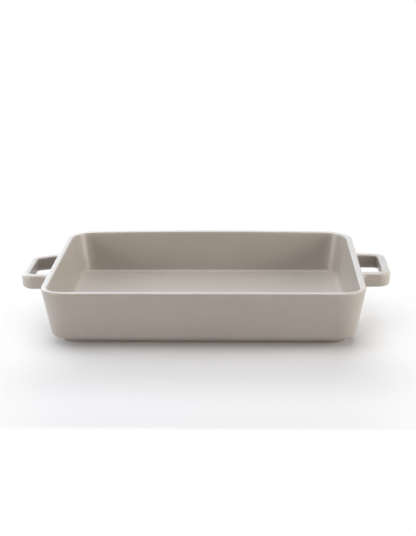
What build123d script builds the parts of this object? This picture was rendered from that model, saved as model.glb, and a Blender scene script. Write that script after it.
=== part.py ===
from build123d import *
import math
import os

# A rectangular baking dish of glazed stoneware, with a strap handle on each short end.
# X runs along the dish, Y across it from front to back, and Z up.
# The origin is in the middle of the footprint, on the table. All sizes are in millimetres.

# Body
rim_length = 330.0
rim_width = 243.0
rim_height = 59.0
rim_corner_radius = 30.0
wall_thickness = 7.0
wall_lean_degrees = 10.5
base_thickness = 8.2
rim_outer_radius = 2.8
rim_inner_radius = 1.5
heel_radius = 7.0
well_radius = 6.0

# Foot ring, set in from where the leaning walls would reach the underside
foot_height = 4.8
foot_width = 8.0
foot_set_in = 9.6
foot_corner_radius = 14.0
foot_edge_radius = 1.2

# Handles. The left loop was put on a little lower, further forward and askew.
strap_thickness = 8.8
strap_height = 15.3
strap_draft_degrees = 4.0
strap_top_edge_radius = 1.8
strap_bottom_edge_radius = 3.2
loop_corner_radius = 14.0
loop_root_radius = 7.0
gap_corner_radius = 5.0
right_drop = 4.5
right_reach = 31.0
right_front_root = 42.0
right_front_tip = 40.0
right_rear_root = 39.5
right_rear_tip = 37.5
left_drop = 5.4
left_reach = 29.9
left_front_root = 48.0
left_front_tip = 47.5
left_rear_root = 39.5
left_rear_tip = 25.0
left_rear_corner_radius = 20.0
left_rear_gap_radius = 7.0

# No rounding takes more than these shares of what it is cut into
rim_outer_share = 0.62
rim_inner_share = 0.24
well_corner_share = 0.9
foot_corner_share = 0.25

lean = math.tan(math.radians(wall_lean_degrees))
floor_level = foot_height + base_thickness
wall_height = rim_height - foot_height
well_depth = rim_height - floor_level


def lowest(solid):
    """The edges round the bottom of a solid."""
    return solid.edges().group_by(Axis.Z)[0]


def highest(solid):
    """The edges round the top of a solid."""
    return solid.edges().group_by(Axis.Z)[-1]


def rounded_slab(length, width, radius, top, depth, taper=0.0):
    """A rounded rectangle at the level top, carried down through depth, drafted or straight."""
    with BuildPart() as slab:
        with BuildSketch(Plane.XY.offset(top)):
            RectangleRounded(length, width, radius)
        extrude(amount=-depth, taper=taper)
    return slab.part


def outer_block():
    """The body's outer form filled in, with its leaning walls and rounded heel."""
    block = rounded_slab(
        rim_length, rim_width, rim_corner_radius, rim_height, wall_height, wall_lean_degrees
    )
    block = fillet(lowest(block), heel_radius)
    return fillet(highest(block), min(rim_outer_radius, rim_outer_share * wall_thickness))


def well_block():
    """The space inside the walls, with a round where the walls meet the floor."""
    corner_radius = rim_corner_radius - wall_thickness
    well = rounded_slab(
        rim_length - 2 * wall_thickness,
        rim_width - 2 * wall_thickness,
        corner_radius,
        rim_height,
        well_depth,
        wall_lean_degrees,
    )
    floor_corner_radius = corner_radius - lean * well_depth
    return fillet(lowest(well), min(well_radius, well_corner_share * floor_corner_radius))


def dish_body():
    """Base and walls, with the rim rounded over more on its outside than on its inside."""
    body = outer_block() - well_block()
    rim = body.faces().sort_by(Axis.Z)[-1]
    inner_edges = rim.inner_wires()[0].edges()
    return fillet(inner_edges, min(rim_inner_radius, rim_inner_share * wall_thickness))


def foot_ring():
    """The low ring under the base that the dish stands on."""
    set_in = lean * wall_height + foot_set_in
    length = rim_length - 2 * set_in
    width = rim_width - 2 * set_in
    inner_radius = max(foot_corner_radius - foot_width, foot_corner_share * foot_corner_radius)
    ring = rounded_slab(length, width, foot_corner_radius, foot_height, foot_height)
    ring -= rounded_slab(
        length - 2 * foot_width, width - 2 * foot_width, inner_radius, foot_height, foot_height
    )
    return fillet(lowest(ring), foot_edge_radius)


def arm_line(reach, root, tip, step):
    """A straight side of one arm seen from above, a step in from the line from root to tip."""
    slope = (tip - root) / reach
    inset = step * math.hypot(1, slope)
    return lambda distance: root + slope * distance - inset


def loop_face(wall_face, length, front, rear, front_radius, rear_radius):
    """A face from the wall out to a length, between a front and a rear arm line."""
    tip = wall_face + length
    line = Polyline(
        (wall_face, -front(0)),
        (tip, -front(length)),
        (tip, rear(length)),
        (wall_face, rear(0)),
        close=True,
    )
    face = make_face(line)
    for end, radius in ((0, front_radius), (-1, rear_radius)):
        corner = face.vertices().group_by(Axis.X)[-1].sort_by(Axis.Y)[end]
        face = fillet(corner, radius)
    return face


def flared(outline, wall_face, front_root, rear_root):
    """The outline with a strip inside the wall and a flare on the outside of each arm."""
    margin = loop_root_radius + strap_thickness
    strip = Rectangle(
        strap_thickness, front_root + rear_root + 2 * margin, align=(Align.MAX, Align.MIN)
    )
    joined = outline + Pos(wall_face, -front_root - margin) * strip
    roots = [
        vertex
        for vertex in joined.vertices()
        if abs(vertex.X - wall_face) < loop_root_radius / 2
        and -front_root - margin / 2 < vertex.Y < rear_root + margin / 2
    ]
    return fillet(roots, loop_root_radius)


def handle(
    drop, reach, front_root, front_tip, rear_root, rear_tip, rear_corner_radius, rear_gap_radius
):
    """A strap bent to a loop and joined to the right-hand end wall."""
    top = rim_height - drop
    setback = lean * (drop + strap_height)
    wall_face = rim_length / 2 - setback
    full_reach = reach + setback
    gap_reach = full_reach - strap_thickness

    outline = loop_face(
        wall_face,
        full_reach,
        arm_line(full_reach, front_root, front_tip, 0),
        arm_line(full_reach, rear_root, rear_tip, 0),
        loop_corner_radius,
        rear_corner_radius,
    )
    outline = flared(outline, wall_face, front_root, rear_root)
    gap = loop_face(
        wall_face,
        gap_reach,
        arm_line(full_reach, front_root, front_tip, strap_thickness),
        arm_line(full_reach, rear_root, rear_tip, strap_thickness),
        gap_corner_radius,
        rear_gap_radius,
    )
    gap = fillet(gap.vertices().group_by(Axis.X)[0], loop_root_radius)

    level = Pos(0, 0, top)
    strap = extrude(level * outline, amount=-strap_height, taper=strap_draft_degrees)
    strap -= extrude(level * gap, amount=-strap_height)
    strap = fillet(highest(strap), strap_top_edge_radius)
    strap = fillet(lowest(strap), strap_bottom_edge_radius)
    return strap - outer_block()


def right_handle():
    return handle(
        right_drop,
        right_reach,
        right_front_root,
        right_front_tip,
        right_rear_root,
        right_rear_tip,
        loop_corner_radius,
        gap_corner_radius,
    )


def left_handle():
    loop = handle(
        left_drop,
        left_reach,
        left_front_root,
        left_front_tip,
        left_rear_root,
        left_rear_tip,
        left_rear_corner_radius,
        left_rear_gap_radius,
    )
    return mirror(loop, about=Plane.YZ)


def main():
    pieces = {
        "dish_body": dish_body(),
        "foot_ring": foot_ring(),
        "left_handle": left_handle(),
        "right_handle": right_handle(),
    }
    os.makedirs("parts", exist_ok=True)
    for name, solid in pieces.items():
        export_step(solid, f"parts/{name}.step")
        print(name, round(solid.volume), len(solid.solids()), solid.bounding_box())


main()
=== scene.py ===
"""Looks of a rectangular baking dish in satin-glazed stoneware, standing on a white sweep.

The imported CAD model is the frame: sizes come from its boxes, and each surface here stands for
the CAD node in the same place. Lengths are in metres. +X runs along the dish to its right loop,
+Y to the back and +Z up, from the middle of the footprint on the table.
"""

import math

import bmesh
import bpy
import numpy as np
from mathutils import Matrix, Vector


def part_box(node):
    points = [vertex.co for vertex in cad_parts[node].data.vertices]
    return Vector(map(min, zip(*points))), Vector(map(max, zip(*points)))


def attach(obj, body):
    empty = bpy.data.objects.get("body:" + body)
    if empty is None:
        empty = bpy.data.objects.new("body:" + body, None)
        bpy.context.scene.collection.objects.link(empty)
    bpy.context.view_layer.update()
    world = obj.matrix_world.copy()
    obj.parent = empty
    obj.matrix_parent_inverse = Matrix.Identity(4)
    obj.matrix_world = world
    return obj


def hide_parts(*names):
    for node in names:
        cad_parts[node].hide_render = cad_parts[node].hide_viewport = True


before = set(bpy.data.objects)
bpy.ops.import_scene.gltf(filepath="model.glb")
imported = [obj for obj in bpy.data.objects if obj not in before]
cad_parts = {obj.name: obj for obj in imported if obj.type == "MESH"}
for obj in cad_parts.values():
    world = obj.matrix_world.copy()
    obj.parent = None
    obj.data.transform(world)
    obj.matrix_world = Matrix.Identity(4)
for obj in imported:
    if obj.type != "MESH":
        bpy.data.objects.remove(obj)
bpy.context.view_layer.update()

MM = 0.001
BODY = "root"

# The dish, from its CAD box. Its walls lean out as they rise, at the same angle all round. Its
# profile starts and ends at the flat inset, under the base and on the floor.
dish_low, dish_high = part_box("dish_body")
BASE_LEVEL = dish_low.z
RIM_LEVEL = dish_high.z
WALL_LEAN = math.radians(10.5)
WALL_SLOPE = math.tan(WALL_LEAN)
WALL_THICKNESS = 7.0 * MM
FLOOR_LEVEL = BASE_LEVEL + 7.8 * MM
WELL_DEPTH = RIM_LEVEL - FLOOR_LEVEL
RIM_OUTER_RADIUS = 2.6 * MM
RIM_INNER_RADIUS = 1.3 * MM
HEEL_RADIUS = 7.0 * MM
WELL_RADIUS = 4.5 * MM
RIM_CORNER_RADIUS = 30.0 * MM
FLAT_INSET = 30.0 * MM
WALL_BOW = 0.5 * MM
RIM_DIP = 1.6 * MM
RIM_DIP_MORE_BEHIND = 1 / 3

# The well's corners in plan, at the rim. Those at the rear tighten on the way down, by this
# share of the wall's own run.
WELL_FRONT_RADIUS = 17.0 * MM
WELL_REAR_LEFT_RADIUS = 22.5 * MM
WELL_REAR_RIGHT_RADIUS = 25.0 * MM
WELL_REAR_TIGHTENING = 0.7

# The rounded rim is as wide as the box, and the walls' own line meets its top this far outside
RIM_OVERHANG = RIM_OUTER_RADIUS * (WALL_SLOPE + 1 / math.cos(WALL_LEAN) - 1)
RIM_HALF_LENGTH = dish_high.x + RIM_OVERHANG
RIM_HALF_WIDTH = dish_high.y + RIM_OVERHANG

# The foot ring, from its CAD box
foot_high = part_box("foot_ring")[1]
FOOT_WIDTH = 8.0 * MM
FOOT_CORNER_RADIUS = 14.0 * MM
FOOT_EDGE_RADIUS = 1.7 * MM
GROOVE_HEIGHT = 0.8 * MM
GROOVE_DEPTH = 0.9 * MM
GROOVE_LIP_RADIUS = 0.4 * MM
GROOVE_NOOK_RADIUS = 0.2 * MM
SUNK_IN_BASE = 1.0 * MM

# The loops. Each leaves the wall in a soft flare and turns two corners. Its ends go a little
# way into the wall, and its rear corner is worn within the reach.
STRAP_THICKNESS = 8.8 * MM
STRAP_HALF = STRAP_THICKNESS / 2
STRAP_HEIGHT = 15.3 * MM
STRAP_DRAFT = math.tan(math.radians(4.0))
STRAP_TOP_RADIUS = 2.0 * MM
STRAP_OUTER_RADIUS = 3.4 * MM
STRAP_BOTTOM_RADIUS = 3.3 * MM
LOOP_CORNER_RADIUS = 14.0 * MM
ROOT_FLARE_SIDE = 6.5 * MM
ROOT_FLARE_IN_GAP = 3.0 * MM
ROOT_FLARE_UP = 0.5 * MM
SUNK_IN_WALL = 3.2 * MM
WORN_REACH = 6.0 * MM

# How finely the surfaces are cut: steps along the long and short sides, round the corners,
# in the rounds of a profile, from a ring to its middle line, and along a loop. Points closer
# than the merging distance become one.
LONG_STEPS = 56
SHORT_STEPS = 36
RIM_CORNER_STEPS = 20
FOOT_CORNER_STEPS = 16
DISH_ROUND_STEPS = 12
FOOT_ROUND_STEPS = 6
CLOSING_STEPS = 8
STRAP_ROUND_STEPS = 8
LOOP_CORNER_STEPS = 14
LOOP_TIP_STEPS = 24
FLARE_STEPS = 14
ARM_SHARES_PAST_FLARE = (0.62, 0.74, 0.86)
MERGING_DISTANCE = 0.005 * MM
SHORTEST_EDGE = 0.001 * MM

# How pale or dark the glaze is drawn: under 0 paler, 0 even, over 0 darker, each with the width
# over which it does so. The rim is paler from thin glaze and a painted highlight; the cove and
# the strap's top edges are painted highlights; the heel, the back wall and the right wall are
# painted shade.
RIM_PALE_WIDTH = 1.4 * MM
RIM_LESS_PALE_IN_FRONT = 0.6
RIM_LESS_PALE_OUTSIDE_CORNERS = 0.9
COVE_PAINTED_HIGHLIGHT = 0.6
COVE_PAINTED_HIGHLIGHT_WIDTH = 1.3 * MM
HEEL_PAINTED_SHADE = 1.5
HEEL_PAINTED_SHADE_WIDTH = 1.5 * MM
BACK_WALL_PAINTED_SHADE = 0.33
RIGHT_WALL_PAINTED_SHADE = 0.45
PALE_LIMIT = -0.05
STRAP_EDGE_PAINTED_HIGHLIGHT = 0.5
STRAP_EDGE_PAINTED_HIGHLIGHT_WIDTH = 1.3 * MM

# Colours of the glaze and the clay. The pale glaze colour serves for the grain, thin glaze and
# painted highlight, the deep one for clouds and painted shade, and the clay's grit colour for
# grit and painted contact shade.
GLAZE = (0.40, 0.363, 0.322)
GLAZE_PALE_AND_LIT = (0.505, 0.462, 0.414)
GLAZE_DEEP_AND_SHADED = (0.25, 0.215, 0.175)
SPECK = (0.115, 0.088, 0.066)
BARE_CLAY = (0.40, 0.30, 0.205)
BARE_CLAY_GRIT_AND_SHADE = (0.20, 0.165, 0.13)

# Widths of the lumps in each pattern. For specks: their spacing, the widest one's size, and the
# share of places that has one.
CLOUD_SIZE = 55 * MM
SWELL_SIZE = 22 * MM
EDGE_WAVE_SIZE = 12 * MM
SHEEN_SIZE = 9 * MM
GRAIN_SIZE = 1.6 * MM
GRIT_SIZE = 0.7 * MM
FINE_SPECKS = (2.4 * MM, 0.26 * MM, 0.8)
BOLD_SPECKS = (4.5 * MM, 0.55 * MM, 0.7)

# How much each pattern shows in the glaze, as a share of the other colour, a part of the
# roughness or the strength of a bump
CLOUD_SHARE = 0.125
GRAIN_SHARE = 0.12
COAT_AND_SHADING_SHARE = 0.7
FINE_SPECK_SHARE = 0.55
BOLD_SPECK_SHARE = 0.7
GLAZE_ROUGHNESS = 0.28
SHEEN_ROUGHNESS = 0.08
SPECK_ROUGHNESS = 0.15
SWELL_BUMP = 0.00035
GRAIN_BUMP = 0.00002

# The foot: the glaze ends at an uneven line, and the clay is painted darkest where it stands, as
# painted contact shade
GLAZE_END_LEVEL = 1.5 * MM
GLAZE_END_WAVE = 1.4 * MM
CLAY_ROUGHNESS = 0.85
GRIT_BUMP = 0.0001
CONTACT_SHADE_LOW = 0.2 * MM
CONTACT_SHADE_HIGH = 1.2 * MM
CONTACT_SHADE_SHARE = 0.7

# Soft boxes: name, place, size, power in watts and colour. All face one point in the dish.
LAMP_AIM = (0, 0, 0.03)
LAMPS = (
    ("overhead", (0.0, 0.24, 1.38), (1.4, 1.2), 20.4, (0.99, 1, 1.02)),
    ("behind", (0.0, 1.26, 0.98), (1.8, 0.7), 5.4, (0.87, 1, 1.2)),
    ("left_front", (-1.15, -0.72, 0.37), (0.7, 0.5), 8.0, (1.06, 1, 0.97)),
    ("right_front", (1.20, -0.64, 0.34), (0.7, 0.5), 8.6, (1.06, 1, 0.98)),
    ("left_side", (-1.30, 0.0, 0.52), (0.8, 0.6), 2.0, (0.8, 1, 1.35)),
    ("right_side", (1.30, 0.0, 0.52), (0.8, 0.6), 5.6, (1.03, 1, 0.92)),
    ("left_rear", (-0.95, 0.74, 0.72), (0.8, 0.6), 6.3, (0.95, 1, 1.04)),
)

# How bright a reflection finds the white surroundings, by where it looks, and their tints
GLOSS_BEHIND = 0.96
GLOSS_BEHIND_LEFT = 1.2
GLOSS_AHEAD = 0.33
GLOSS_ASIDE = 0.5
GLOSS_FLOOR = 0.45
GLOSS_COOL = (0.87, 1.0, 1.13)
GLOSS_WARM = (1.1, 1.0, 0.85)
WHITE = (1.0, 1.0, 1.0)

# The floor, and the painted shadow that darkens it close in front of the dish
FLOOR_HALF = 4.0
PAPER = (0.705, 0.70, 0.695)
PAPER_PAINTED_SHADOW = (0.495, 0.49, 0.487)
PAPER_PAINTED_SHADOW_SHARE = 0.5


def unit(vector):
    """The vector over its own length."""
    return vector / np.linalg.norm(vector)


def left_of(directions):
    """Plan directions turned a quarter turn to the left: (x, y) becomes (-y, x)."""
    return np.stack([-directions[..., 1], directions[..., 0]], axis=-1)


def turned(direction, angles):
    """One plan direction turned by each angle: (x cos a - y sin a, x sin a + y cos a)."""
    cosine = np.cos(angles)[:, None]
    sine = np.sin(angles)[:, None]
    return direction * cosine + left_of(direction) * sine


def falloff(distance, width):
    """1 at no distance, and less on both sides of it: exp(-(distance / width)^2)."""
    return np.exp(-((distance / width) ** 2))


def even(count):
    """The shares of a run that cut it into so many equal steps, without its two ends."""
    return np.arange(1, count) / count


def rounded_line(corners, radii, arc_steps, runs):
    """Points and directions along straight runs joined by tangent arcs, with open ends.

    Where the line turns by the angle t, an arc of radius r starts r tan(t / 2) before the
    corner. Its centre is r to the side of that start, and a point on it is the centre less r
    times the side direction turned with the arc. The runs give the shares of each straight run
    at which it has points between its ends.
    """
    corners = np.array(corners, float)
    headings = [unit(b - a) for a, b in zip(corners[:-1], corners[1:])]
    points = [corners[:1]]
    directions = [headings[0][None]]
    for index, radius in enumerate(radii):
        before, after = headings[index], headings[index + 1]
        turn = math.atan2(before[0] * after[1] - before[1] * after[0], before @ after)
        side = math.copysign(1.0, turn)
        start = corners[index + 1] - before * radius * math.tan(abs(turn) / 2)
        centre = start + side * radius * left_of(before)
        angles = np.linspace(0, turn, arc_steps + 1)
        arc = centre - side * radius * left_of(turned(before, angles))
        run = points[-1][-1] + np.outer(runs[index], start - points[-1][-1])
        points += [run, arc]
        directions += [np.tile(before, (len(run), 1)), turned(before, angles)]
    last = points[-1][-1] + np.outer(np.append(runs[-1], 1.0), corners[-1] - points[-1][-1])
    points.append(last)
    directions.append(np.tile(headings[-1], (len(last), 1)))
    return np.concatenate(points), np.concatenate(directions)


def offset_outline(half_x, half_y, corner_steps):
    """Base points and outward directions round a rectangle, anticlockwise from above.

    A rounded rectangle of corner radius r is base + r * direction: on each side the direction
    stays and the base moves along, and at each corner the base stays and the direction turns.
    """
    base = []
    outward = []
    corners = np.array([[1, 1], [-1, 1], [-1, -1], [1, -1]]) * (half_x, half_y)
    for quarter, corner in enumerate(corners):
        following = corners[(quarter + 1) % 4]
        shares = even(LONG_STEPS if quarter % 2 == 0 else SHORT_STEPS)[:, None]
        angles = (quarter + np.linspace(0, 1, corner_steps + 1)) * math.pi / 2
        turning = np.stack([np.cos(angles), np.sin(angles)], axis=-1)
        base += [np.tile(corner, (corner_steps + 1, 1)), corner + shares * (following - corner)]
        outward += [turning, np.tile(turning[-1], (len(shares), 1))]
    return np.concatenate(base), np.concatenate(outward)


def revolve_round(base, outward, radius, height, growth=0.0):
    """A profile carried round an outline: (base + radius * outward, height) for each pair.

    Growth makes the corners rounder and leaves the sides where they are: it is added to the
    radius, and the base's corners move in by as much.
    """
    growth = np.broadcast_to(growth, (len(radius), len(base)))[:, :, None]
    shrunk = base * (1 - growth / np.abs(base).max(axis=0))
    plan = shrunk + (radius[:, None, None] + growth) * outward
    level = np.broadcast_to(height[:, None, None], plan.shape[:2] + (1,))
    return np.concatenate([plan, level], axis=-1)


def drawn_to_middle(ring):
    """Copies of a ring drawn in, step by step, on to its own middle line, which closes a floor.

    The middle line lies along X and is as long as the ring is longer than wide.
    """
    reach = ring[:, 0].max() - ring[:, 1].max()
    middle = np.stack([ring[:, 0].clip(-reach, reach), 0 * ring[:, 1], ring[:, 2]], axis=-1)
    shares = np.arange(1, CLOSING_STEPS + 1) / CLOSING_STEPS
    return ring + shares[:, None, None] * (middle - ring)


def grid_mesh(name, grid, wrap_rows, coat_and_shading=0.0):
    """A smooth closed mesh over a grid of points, whose columns always wrap.

    Doubles are merged, and the faces are turned so that the volume inside is positive. The
    numbers for the glaze, one for each point, become its attribute: under 0 paler, from thin
    glaze and painted highlight, and over 0 darker, from painted shade.
    """
    rows, columns = grid.shape[:2]
    index = np.arange(rows * columns).reshape(rows, columns)
    upper = np.roll(index, -1, axis=0)
    if not wrap_rows:
        index, upper = index[:-1], upper[:-1]
    quads = np.stack([index, np.roll(index, -1, 1), np.roll(upper, -1, 1), upper], axis=-1)
    mesh = bpy.data.meshes.new(name)
    mesh.from_pydata(grid.reshape(-1, 3), [], quads.reshape(-1, 4))
    attribute = mesh.attributes.new("glaze_coat_and_shading", "FLOAT", "POINT")
    values = np.broadcast_to(coat_and_shading, (rows, columns)).astype(np.float32)
    attribute.data.foreach_set("value", values.ravel())
    shell = bmesh.new()
    shell.from_mesh(mesh)
    bmesh.ops.remove_doubles(shell, verts=shell.verts, dist=MERGING_DISTANCE)
    bmesh.ops.dissolve_degenerate(shell, edges=shell.edges, dist=SHORTEST_EDGE)
    if shell.calc_volume(signed=True) < 0:
        bmesh.ops.reverse_faces(shell, faces=shell.faces)
    shell.to_mesh(mesh)
    shell.free()
    mesh.shade_smooth()
    piece = bpy.data.objects.new(name, mesh)
    bpy.context.scene.collection.objects.link(piece)
    return piece


def dish_profile():
    """The dish cut across one wall: insets from the rim's line, and heights.

    It runs from under the base round the heel, up the outer wall, over the rim, down the inner
    wall and round into the floor.
    """
    corners = [
        (FLAT_INSET, BASE_LEVEL),
        (WALL_SLOPE * (RIM_LEVEL - BASE_LEVEL), BASE_LEVEL),
        (0, RIM_LEVEL),
        (WALL_THICKNESS, RIM_LEVEL),
        (WALL_THICKNESS + WALL_SLOPE * WELL_DEPTH, FLOOR_LEVEL),
        (FLAT_INSET, FLOOR_LEVEL),
    ]
    radii = [HEEL_RADIUS, RIM_OUTER_RADIUS, RIM_INNER_RADIUS, WELL_RADIUS]
    runs = [even(4), even(14), even(2), even(14), even(3)]
    profile, _ = rounded_line(corners, radii, DISH_ROUND_STEPS, runs)
    return profile.T


def well_growth(inset, base):
    """How much the well's corners are rounder than an even wall would make them.

    An even wall's corner radius is the rim's less the inset. Over the rim the growth brings it
    to the well's own radius, which changes evenly along the sides from corner to corner. Down
    the wall it gives back the wall's run, all of it in front and less of it to the rear.
    """
    from_left, from_front = (1 + base / np.abs(base).max(axis=0)).T / 2
    rear = WELL_REAR_LEFT_RADIUS + (WELL_REAR_RIGHT_RADIUS - WELL_REAR_LEFT_RADIUS) * from_left
    well_corner = WELL_FRONT_RADIUS + (rear - WELL_FRONT_RADIUS) * from_front
    over_rim = (inset / WALL_THICKNESS).clip(0, 1)
    down_wall = (inset - WALL_THICKNESS).clip(0, WALL_SLOPE * WELL_DEPTH)
    growth = np.outer(over_rim, well_corner + WALL_THICKNESS - RIM_CORNER_RADIUS)
    growth += np.outer(down_wall, 1 - WELL_REAR_TIGHTENING * from_front)
    inner = np.arange(len(inset)) > inset.argmin()
    return growth * inner[:, None]


def dish_coat_and_shading(inset, height, outward, rise, along, across):
    """How pale or dark the glaze is drawn on the dish, for each row of its profile and column of
    its outline.

    It is paler over the rim, from thin glaze and a painted highlight that is weaker in front and
    outside the corners, and paler as a painted highlight where the round under the walls meets
    the floor. It is darker at the heel as painted shade, each as a falloff from there. Where it
    isn't paler, painted shade darkens it by sqrt(rise) times y / half width behind the middle,
    and in the well to the right of the middle by sqrt(rise) (x / half length)^4 (1 - (y / half
    width)^4).
    The rise is 0 on the floor and 1 at the rim, and along and across are x / half length and
    y / half width.
    """
    inner = np.arange(len(inset)) > inset.argmin()
    in_front = (-outward[:, 1]).clip(0)
    in_corner = 2 * np.abs(outward[:, 0] * outward[:, 1])
    # The rim: paler partly from thin glaze and partly as a painted highlight, weaker in front
    # and outside the corners.
    rim = falloff(RIM_LEVEL - height, RIM_PALE_WIDTH)
    rim = np.outer(rim, 1 - RIM_LESS_PALE_IN_FRONT * in_front)
    rim[~inner] *= 1 - RIM_LESS_PALE_OUTSIDE_CORNERS * in_corner

    # The cove: a painted highlight where the round under the walls meets the floor.
    in_well = inner & (inset > WALL_THICKNESS)
    cove_end = inset[in_well & (height < FLOOR_LEVEL + 0.01 * MM)].min()
    cove = COVE_PAINTED_HIGHLIGHT * in_well * falloff(inset - cove_end, COVE_PAINTED_HIGHLIGHT_WIDTH)
    # The heel: painted shade under the wall, darkest at its foot.
    at_heel = (height < BASE_LEVEL + HEEL_RADIUS) & (inset < FLAT_INSET)
    heel = HEEL_PAINTED_SHADE * at_heel * falloff(height - BASE_LEVEL, HEEL_PAINTED_SHADE_WIDTH)

    coat_and_shading = np.zeros(rise.shape)
    coat_and_shading[CLOSING_STEPS:-CLOSING_STEPS] = (heel - cove)[:, None] - rim
    # Painted shade: darker behind the middle and on the right inner wall, more so towards the
    # rim.
    past_rim = (np.arange(len(coat_and_shading)) > CLOSING_STEPS + inset.argmin())[:, None]
    right_wall = past_rim * along.clip(0) ** 4 * (1 - across**4)
    painted_shade = BACK_WALL_PAINTED_SHADE * across.clip(0) + RIGHT_WALL_PAINTED_SHADE * right_wall
    return coat_and_shading + painted_shade * np.sqrt(rise) * (coat_and_shading > PALE_LIMIT)


def dish_surface():
    """The dish as its profile carried round the rim's outline, closed under and over its base.

    Long walls bow out a little in the middle, as y (1 - bow (x / half length)^2). The rim is
    highest in the middle of its long sides and lower by dip (1 - crest) elsewhere, where crest
    is (1 - (x / half length)^2) times the fourth power of y / half width at the back, and
    (1 - (x / half length)^4) / 2 times it in front. The dip is deeper towards the back, and
    fades down the walls with the square of the height over the floor.
    """
    inset, height = dish_profile()
    base, outward = offset_outline(
        RIM_HALF_LENGTH - RIM_CORNER_RADIUS, RIM_HALF_WIDTH - RIM_CORNER_RADIUS, RIM_CORNER_STEPS
    )
    growth = well_growth(inset, base)
    walls = revolve_round(base, outward, RIM_CORNER_RADIUS - inset, height, growth)
    under = drawn_to_middle(walls[0])[::-1]
    over = drawn_to_middle(walls[-1])
    grid = np.concatenate([under, walls, over])

    x, y, z = grid[..., 0], grid[..., 1], grid[..., 2]
    rise = ((z - FLOOR_LEVEL) / WELL_DEPTH).clip(0, 1)
    along = x / RIM_HALF_LENGTH
    across = y / RIM_HALF_WIDTH
    coat_and_shading = dish_coat_and_shading(inset, height, outward, rise, along, across)

    arch = np.where(across > 0, 1 - along**2, 0.5 - 0.5 * along**4)
    crest = arch.clip(0) * across**4
    deeper = 1 + RIM_DIP_MORE_BEHIND * across.clip(0)
    y *= 1 - WALL_BOW / RIM_HALF_WIDTH * along**2
    z -= RIM_DIP * rise**2 * (1 - crest) * deeper
    return grid_mesh("glazed_dish", grid, False, coat_and_shading)


def foot_surface():
    """The foot as a closed section carried round its outline.

    A narrow groove runs round it on both sides, where it meets the base.
    """
    top = BASE_LEVEL + SUNK_IN_BASE
    groove = BASE_LEVEL - GROOVE_HEIGHT
    corners = [
        (FOOT_WIDTH / 2, 0),
        (0, 0),
        (0, groove),
        (GROOVE_DEPTH, groove),
        (GROOVE_DEPTH, top),
        (FOOT_WIDTH - GROOVE_DEPTH, top),
        (FOOT_WIDTH - GROOVE_DEPTH, groove),
        (FOOT_WIDTH, groove),
        (FOOT_WIDTH, 0),
        (FOOT_WIDTH / 2, 0),
    ]
    radii = [FOOT_EDGE_RADIUS, GROOVE_LIP_RADIUS, GROOVE_NOOK_RADIUS, GROOVE_NOOK_RADIUS]
    radii += radii[::-1]
    section, _ = rounded_line(corners, radii, FOOT_ROUND_STEPS, [even(2)] * 9)
    inset, height = section[:-1].T
    base, outward = offset_outline(
        foot_high.x - FOOT_CORNER_RADIUS, foot_high.y - FOOT_CORNER_RADIUS, FOOT_CORNER_STEPS
    )
    grid = revolve_round(base, outward, FOOT_CORNER_RADIUS - inset, height)
    return grid_mesh("foot", grid, True)


def quarter_flare(distance, radius):
    """How far a fillet of that radius stands out at a distance from the wall it meets."""
    clear = (distance / radius).clip(0, 1)
    return radius * (1 - np.sqrt(1 - (1 - clear) ** 2))


def strap_section(top, bottom):
    """The strap cut across, with its normals: points (out from its middle line, height).

    Its outside leans in on the way down, and the top edge of its outside is the roundest.
    """
    corners = [
        (0, top),
        (STRAP_HALF, top),
        (STRAP_HALF - STRAP_DRAFT * STRAP_HEIGHT, bottom),
        (-STRAP_HALF, bottom),
        (-STRAP_HALF, top),
        (0, top),
    ]
    radii = [STRAP_OUTER_RADIUS, STRAP_BOTTOM_RADIUS, STRAP_BOTTOM_RADIUS, STRAP_TOP_RADIUS]
    runs = [even(2), even(7), even(2), even(7), even(2)]
    section, direction = rounded_line(corners, radii, STRAP_ROUND_STEPS, runs)
    return section[:-1], left_of(direction)[:-1]


def arm_line(offsets, reach):
    """How far an arm's middle line is from the middle of the wall, at a distance from the wall.

    The offsets are those of the arm's outer side, at the wall and at the reach.
    """
    root, tip = offsets
    slope = (tip - root) / reach
    half = STRAP_HALF * math.hypot(1, slope)
    return lambda distance: root + slope * distance - half


def loop_path(length, front, rear):
    """The middle line of a loop in plan, out of the wall, round two corners and back into it.

    Points are (distance from the wall, offset to the back). With them come the directions in
    which the strap's outside lies, and how near the wall each point is, from 0 at the corners
    to 1. The directions are square to the path, and turn near the wall to lie along it. There
    they are longer where the arm leaves the wall askew, so that the strap keeps its thickness.
    """
    corners = [
        (-SUNK_IN_WALL, -front(-SUNK_IN_WALL)),
        (length, -front(length)),
        (length, rear(length)),
        (-SUNK_IN_WALL, rear(-SUNK_IN_WALL)),
    ]
    radius = LOOP_CORNER_RADIUS - STRAP_HALF
    straight = length - radius
    turn = np.linspace(0, math.pi / 2, FLARE_STEPS + 1)
    in_flare = ROOT_FLARE_SIDE * (1 - np.cos(turn))
    arm = (SUNK_IN_WALL + in_flare) / (straight + SUNK_IN_WALL)
    arm = np.append(arm, ARM_SHARES_PAST_FLARE)
    runs = [arm, even(LOOP_TIP_STEPS), (1 - arm)[::-1]]
    path, heading = rounded_line(corners, [radius] * 2, LOOP_CORNER_STEPS, runs)

    outside = -left_of(heading)
    along_wall = np.zeros(outside.shape)
    along_wall[:, 1] = np.sign(outside[:, 1]) / np.abs(outside[:, 1]).clip(0.5)
    near_wall = 1 - (path[:, :1] / straight).clip(0, 1)
    return path, outside + near_wall * (along_wall - outside), near_wall


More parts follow.
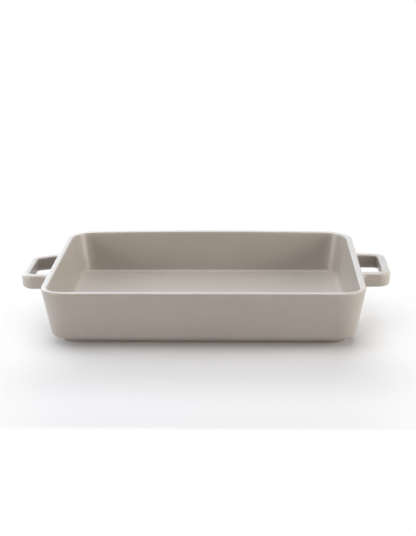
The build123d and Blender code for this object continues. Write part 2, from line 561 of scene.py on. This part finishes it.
def loop_surface(name, node, side, front_arm, rear_arm, rear_worn, painted_light, painted_shade):
    """A strap's section carried along a loop in plan, out of an end wall and back into it.

    Near the wall each point moves out of the section by a quarter-circle flare, and leans with
    the wall, so that strap and wall meet in a fillet. The outside of the rear corner is rounder
    by the length worn, as a falloff from its middle. The side is 1 for the right-hand loop and
    -1 for the left. Each arm is given by its outer side's offsets at the wall and at the tip.
    Painted light makes the glaze paler on the outside and the top edges, and painted shade makes
    it darker in the gap.
    """
    low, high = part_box(node)
    top = high.z
    bottom = top - STRAP_HEIGHT
    wall = RIM_HALF_LENGTH - WALL_SLOPE * (RIM_LEVEL - bottom)
    reach = (high.x if side > 0 else -low.x) - wall
    length = reach - STRAP_HALF
    rear = arm_line(rear_arm, reach)
    path, outside, near_wall = loop_path(length, arm_line(front_arm, reach), rear)
    section, normal = strap_section(top, bottom)
    outer_share = (section[:, 0] / STRAP_HALF).clip(0, 1)

    clear = path[:, :1]
    spread = np.where(normal[:, 0] > 0, ROOT_FLARE_SIDE, ROOT_FLARE_IN_GAP)
    out = section[:, 0] + normal[:, 0] * quarter_flare(clear, spread)
    from_corner = np.linalg.norm(path - (length, rear(length)), axis=1)
    wear_and_shade = rear_worn * falloff(from_corner - from_corner.min(), WORN_REACH)
    out -= np.outer(wear_and_shade, outer_share)
    z = section[:, 1] + normal[:, 1] * quarter_flare(clear, ROOT_FLARE_UP)
    lean = WALL_SLOPE * (z - bottom) * near_wall
    x = wall + path[:, :1] + out * outside[:, :1] + lean
    y = path[:, 1:] + out * outside[:, 1:]
    strap = np.stack([side * x, y, z], axis=-1)

    ends = strap[[0, -1]]
    caps = ends.mean(axis=1, keepdims=True) + 0 * ends
    grid = np.concatenate([caps[:1], strap, caps[1:]])
    # Painted highlight on the outside and top edges, and painted shade on the faces in the gap.
    edge = falloff(top - section[:, 1], STRAP_EDGE_PAINTED_HIGHLIGHT_WIDTH)
    in_gap = (-section[:, 0] / STRAP_HALF).clip(0, 1) * (1 - edge)
    coat_and_shading = painted_shade * in_gap - painted_light * (outer_share + STRAP_EDGE_PAINTED_HIGHLIGHT * edge)
    return grid_mesh(name, grid, False, coat_and_shading)


class Number:
    """A socket that carries one number. An expression on it adds its Math nodes."""

    def __init__(self, shader, socket):
        self.shader = shader
        self.socket = socket

    def maths(self, operation, *values):
        return self.shader.number("ShaderNodeMath", {"operation": operation}, values)

    def __add__(self, other):
        return self.maths("ADD", self, other)

    def __radd__(self, other):
        return self.maths("ADD", other, self)

    def __sub__(self, other):
        return self.maths("SUBTRACT", self, other)

    def __rsub__(self, other):
        return self.maths("SUBTRACT", other, self)

    def __mul__(self, other):
        return self.maths("MULTIPLY", self, other)

    def __rmul__(self, other):
        return self.maths("MULTIPLY", other, self)

    def __truediv__(self, other):
        return self.maths("DIVIDE", self, other)

    def __rtruediv__(self, other):
        return self.maths("DIVIDE", other, self)

    def __neg__(self):
        return self.maths("SUBTRACT", 0.0, self)

    def __abs__(self):
        return self.maths("ABSOLUTE", self)


class Shader:
    """A material's node tree, or the world's, with one method that adds any node."""

    def __init__(self, owner):
        owner.use_nodes = True
        self.tree = owner.node_tree
        self.tree.nodes.clear()

    def node(self, kind, settings, inputs):
        """A node with its settings made first, then its sockets, by name or by number."""
        made = self.tree.nodes.new(kind)
        for key, value in settings.items():
            setattr(made, key, value)
        pairs = inputs.items() if isinstance(inputs, dict) else enumerate(inputs)
        for key, value in pairs:
            if isinstance(value, Number):
                value = value.socket
            if isinstance(value, bpy.types.NodeSocket):
                self.tree.links.new(value, made.inputs[key])
            else:
                made.inputs[key].default_value = value
        return made

    def number(self, kind, settings, inputs, output=0):
        """The same, for one number that the node gives."""
        return Number(self, self.node(kind, settings, inputs).outputs[output])

    def finish(self, kind, inputs, output="ShaderNodeOutputMaterial"):
        """The last shader, joined to the tree's output."""
        made = self.node(kind, {}, inputs)
        self.node(output, {}, [made.outputs[0]])

    def place(self, kind="Object"):
        """The shaded point in its piece's own coordinates, or as another kind of them."""
        return self.node("ShaderNodeTexCoord", {}, {}).outputs[kind]

    def axis(self, place, name):
        """How far a place is along X, Y or Z."""
        return self.number("ShaderNodeSeparateXYZ", {}, [place], name)

    def rays(self, kind):
        """1 for rays of one kind, such as Camera or Glossy, and 0 for the others."""
        return self.number("ShaderNodeLightPath", {}, {}, f"Is {kind} Ray")

    def mix(self, share, first, second):
        """A colour: first where the share is 0, and second where it is 1."""
        sockets = {"Factor": share}
        for key, colour in ((6, first), (7, second)):
            linked = isinstance(colour, bpy.types.NodeSocket)
            sockets[key] = colour if linked else (*colour, 1.0)
        return self.node("ShaderNodeMix", {"data_type": "RGBA"}, sockets).outputs[2]

    def ramp(self, value, low, high):
        """0 where the value is at or under low, 1 at or over high, and smooth between."""
        settings = {"interpolation_type": "SMOOTHSTEP"}
        return self.number("ShaderNodeMapRange", settings, [value, low, high, 0.0, 1.0])

    def noise(self, place, size, detail=2.0):
        """Soft noise about 0.5, whose lumps are about as wide as the size."""
        inputs = {"Vector": place, "Scale": 1 / size, "Detail": detail}
        return self.number("ShaderNodeTexNoise", {}, inputs)

    def specks(self, place, spacing, largest, share):
        """1 inside small round specks, one for some cells of a Voronoi pattern.

        A cell's own random colour gives its speck's size, and whether it has one.
        """
        cells = self.node("ShaderNodeTexVoronoi", {}, {"Vector": place, "Scale": 1 / spacing})
        chance = self.node("ShaderNodeSeparateColor", {}, [cells.outputs["Color"]])
        smallest = 0.35 * largest
        size = Number(self, chance.outputs["Red"]) * (largest - smallest) + smallest
        away = Number(self, cells.outputs["Distance"]) * spacing / size
        shown = self.ramp(Number(self, chance.outputs["Green"]), 1 - share, 1 - share + 0.01)
        return (1 - self.ramp(away, 0.55, 1.0)) * shown

    def bump(self, height, strength, below=None):
        """A normal that rises and falls by the height, in metres, on top of one below."""
        inputs = {"Height": height, "Strength": strength, "Distance": 1.0}
        if below is not None:
            inputs["Normal"] = below
        return self.node("ShaderNodeBump", {}, inputs).outputs["Normal"]


def glaze_layer(shader, place):
    """Colour, roughness and normal of the satin glaze.

    The glaze is a warm grey with faint clouds and a fine grain. It is paler where its attribute
    is under 0, from thin glaze and painted highlight, and darker where it is over 0, from
    painted shade, and small iron specks show through it.
    """
    attribute = {"attribute_name": "glaze_coat_and_shading"}
    coat_and_shading = shader.number("ShaderNodeAttribute", attribute, {}, "Fac")
    clouds = shader.ramp(shader.noise(place, CLOUD_SIZE), 0.3, 0.7)
    grain = shader.noise(place, GRAIN_SIZE, 3.0)
    fine_specks = shader.specks(place, *FINE_SPECKS)
    bold_specks = shader.specks(place, *BOLD_SPECKS)

    tone = shader.mix(clouds * CLOUD_SHARE, GLAZE, GLAZE_DEEP_AND_SHADED)
    tone = shader.mix(shader.ramp(grain, 0.35, 0.7) * GRAIN_SHARE, tone, GLAZE_PALE_AND_LIT)
    # Painted highlight and painted shade, by the attribute: paler under 0, darker over 0.
    tone = shader.mix(shader.ramp(-coat_and_shading, 0.0, 1.0) * COAT_AND_SHADING_SHARE, tone, GLAZE_PALE_AND_LIT)
    tone = shader.mix(shader.ramp(coat_and_shading, 0.0, 1.0) * COAT_AND_SHADING_SHARE, tone, GLAZE_DEEP_AND_SHADED)
    tone = shader.mix(fine_specks * FINE_SPECK_SHARE, tone, SPECK)
    tone = shader.mix(bold_specks * BOLD_SPECK_SHARE, tone, SPECK)

    roughness = shader.noise(place, SHEEN_SIZE) * SHEEN_ROUGHNESS + GLAZE_ROUGHNESS
    roughness = roughness + bold_specks * SPECK_ROUGHNESS
    swell = shader.bump(shader.noise(place, SWELL_SIZE, 1.0), SWELL_BUMP)
    return tone, roughness, shader.bump(grain, GRAIN_BUMP, swell)


def glaze_material():
    """The glaze alone, for the dish and its loops."""
    material = bpy.data.materials.new("satin_glaze")
    shader = Shader(material)
    tone, roughness, normal = glaze_layer(shader, shader.place())
    surface = {"Base Color": tone, "Roughness": roughness, "Normal": normal}
    shader.finish("ShaderNodeBsdfPrincipled", surface)
    return material


def foot_material():
    """Glaze down to an uneven line, and wiped bare clay with a gritty grain under it."""
    material = bpy.data.materials.new("wiped_foot")
    shader = Shader(material)
    place = shader.place()
    tone, roughness, normal = glaze_layer(shader, place)
    height = shader.axis(place, "Z")
    wave = shader.noise(place, EDGE_WAVE_SIZE) * GLAZE_END_WAVE
    edge = wave + (GLAZE_END_LEVEL - GLAZE_END_WAVE / 2)
    glazed = shader.ramp((height - edge) / MM, -0.15, 0.15)
    grit = shader.noise(place, GRIT_SIZE, 4.0)
    clay = shader.mix(shader.ramp(grit, 0.4, 0.7), BARE_CLAY, BARE_CLAY_GRIT_AND_SHADE)
    # Painted contact shade: the clay darkens towards the bottom, where the dish stands.
    wear_and_shade = 1 - shader.ramp(height, CONTACT_SHADE_LOW, CONTACT_SHADE_HIGH)
    clay = shader.mix(wear_and_shade * CONTACT_SHADE_SHARE, clay, BARE_CLAY_GRIT_AND_SHADE)
    surface = {
        "Base Color": shader.mix(glazed, clay, tone),
        "Roughness": (roughness - CLAY_ROUGHNESS) * glazed + CLAY_ROUGHNESS,
        "Normal": shader.bump(grit * (1 - glazed), GRIT_BUMP, normal),
    }
    shader.finish("ShaderNodeBsdfPrincipled", surface)
    return material


def sweep_floor():
    """A wide floor of white paper, which the camera sees fade to plain white round the dish.

    It fades behind the dish, beside it, sooner at the back than in front, and in front past the
    shadow. Just in front of the dish the camera sees a painted shadow, which darkens the paper.
    A reflection sees the floor dimmer than white. The limits of the ramps are in metres.
    """
    half = FLOOR_HALF
    corners = [(-half, -half, 0), (half, -half, 0), (half, half, 0), (-half, half, 0)]
    mesh = bpy.data.meshes.new("floor")
    mesh.from_pydata(corners, [], [(0, 1, 2, 3)])
    floor = bpy.data.objects.new("floor", mesh)
    bpy.context.scene.collection.objects.link(floor)
    material = bpy.data.materials.new("white_sweep")
    shader = Shader(material)
    place = shader.place()
    to_right = shader.axis(place, "X") - 0.01
    to_back = shader.axis(place, "Y")
    to_front = -to_back

    behind = shader.ramp(to_back, -0.12, 0.10)
    ahead = shader.ramp(to_front, 0.308, 0.32)
    aside = abs(to_right) - (to_back + 0.1) * 0.22
    less_in_front = 0.6 - shader.ramp(aside, 0.16, 0.24) * 0.35
    most = 0.86 - shader.ramp(to_front, 0.12, 0.23) * less_in_front
    beside = shader.ramp(aside, 0.131, 0.226) * most
    fade = 1 - (1 - behind) * (1 - ahead) * (1 - beside)

    camera = shader.rays("Camera")
    # Painted shadow: to the camera, the paper just in front of the dish is darker.
    near = shader.ramp(to_front, 0.12, 0.17) - shader.ramp(to_front, 0.18, 0.28)
    painted_shadow = camera * near * (1 - beside) * PAPER_PAINTED_SHADOW_SHARE
    colour = shader.mix(painted_shadow, PAPER, PAPER_PAINTED_SHADOW)
    paper = shader.node("ShaderNodeBsdfDiffuse", {}, {"Color": colour})
    white = shader.node("ShaderNodeEmission", {}, {"Strength": 1.0})
    seen_white = camera * fade + shader.rays("Glossy") * GLOSS_FLOOR
    shader.finish("ShaderNodeMixShader", [seen_white, paper.outputs[0], white.outputs[0]])
    floor.data.materials.append(material)


def soft_world():
    """A world that is white to the camera, graded in reflections, and gives no other light.

    A reflection finds it brightest behind the dish and to the left there, dimmer at both sides,
    and dimmest in front, where it is also warm instead of cool.
    """
    world = bpy.data.worlds.new("studio")
    bpy.context.scene.world = world
    shader = Shader(world)
    direction = shader.place("Generated")
    to_right = shader.axis(direction, "X")
    to_back = shader.axis(direction, "Y")
    behind = shader.ramp(to_back, 0.0, 0.5)
    ahead = shader.ramp(-to_back, 0.0, 0.5)
    left = shader.ramp(-to_right, 0.08, 0.26)
    aside = shader.ramp(abs(to_right), 0.5, 0.9)
    gloss = behind * (left * GLOSS_BEHIND_LEFT + GLOSS_BEHIND)
    gloss = gloss + ahead * GLOSS_AHEAD + aside * GLOSS_ASIDE
    camera = shader.rays("Camera")
    tint = shader.mix(ahead, GLOSS_COOL, GLOSS_WARM)
    light = {
        "Color": shader.mix(camera, tint, WHITE),
        "Strength": camera + shader.rays("Glossy") * gloss,
    }
    shader.finish("ShaderNodeBackground", light, "ShaderNodeOutputWorld")


def soft_lamp(name, place, size, power, colour):
    """A rectangular soft box at a place, facing the dish, that no view sees directly."""
    data = bpy.data.lights.new(name, "AREA")
    data.shape = "RECTANGLE"
    data.size, data.size_y = size
    data.energy = power
    data.color = colour
    lamp = bpy.data.objects.new(name, data)
    lamp.location = place
    facing = Vector(LAMP_AIM) - Vector(place)
    lamp.rotation_euler = facing.to_track_quat("-Z", "Y").to_euler()
    lamp.visible_camera = False
    bpy.context.scene.collection.objects.link(lamp)


def view_camera():
    """The camera as fitted to the dish's rim, floor and loops in the photograph.

    It looks along +Y, turned by the yaw to the right, then tipped down by the pitch, and last
    turned about its own axis by the roll.
    """
    yaw, pitch, roll = (math.radians(angle) for angle in (-2.09, 16.73, 0.54))
    focal_pixels = 1231.0
    frame_pixels = 536
    data = bpy.data.cameras.new("camera")
    data.lens = data.sensor_width * focal_pixels / frame_pixels
    camera = bpy.data.objects.new("camera", data)
    turn = Matrix.Rotation(-yaw, 4, "Z") @ Matrix.Rotation(math.pi / 2 - pitch, 4, "X")
    place = Matrix.Translation((0.0485, -1.2763, 0.4322))
    camera.matrix_world = place @ turn @ Matrix.Rotation(-roll, 4, "Z")
    bpy.context.scene.collection.objects.link(camera)
    bpy.context.scene.camera = camera


def dress(piece, material, slot, *nodes):
    """Gives a piece its material, and lets it stand for its CAD nodes. The slot is not used."""
    piece.data.materials.append(material)
    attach(piece, BODY)
    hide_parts(*nodes)


# Each loop's last two numbers paint its glaze: lighter on the outside and top edges as painted
# light, and darker in the gap as painted shade.
right_loop = {
    "name": "right_loop",
    "node": "right_handle",
    "side": 1,
    "front_arm": (42.0 * MM, 40.0 * MM),
    "rear_arm": (39.5 * MM, 37.5 * MM),
    "rear_worn": 0.0,
    "painted_light": 0.6,
    "painted_shade": 0.55,
}
left_loop = {
    "name": "left_loop",
    "node": "left_handle",
    "side": -1,
    "front_arm": (48.0 * MM, 47.5 * MM),
    "rear_arm": (39.5 * MM, 25.0 * MM),
    "rear_worn": 1.6 * MM,
    "painted_light": 1.2,
    "painted_shade": 0.0,
}

glaze = glaze_material()
dress(dish_surface(), glaze, "glaze", "dish_body")
dress(foot_surface(), foot_material(), "bare_clay", "foot_ring")
dress(loop_surface(**right_loop), glaze, "glaze", "right_handle")
dress(loop_surface(**left_loop), glaze, "glaze", "left_handle")

sweep_floor()
soft_world()
for lamp in LAMPS:
    soft_lamp(*lamp)
view_camera()
bpy.context.scene.view_settings.view_transform = "Standard"
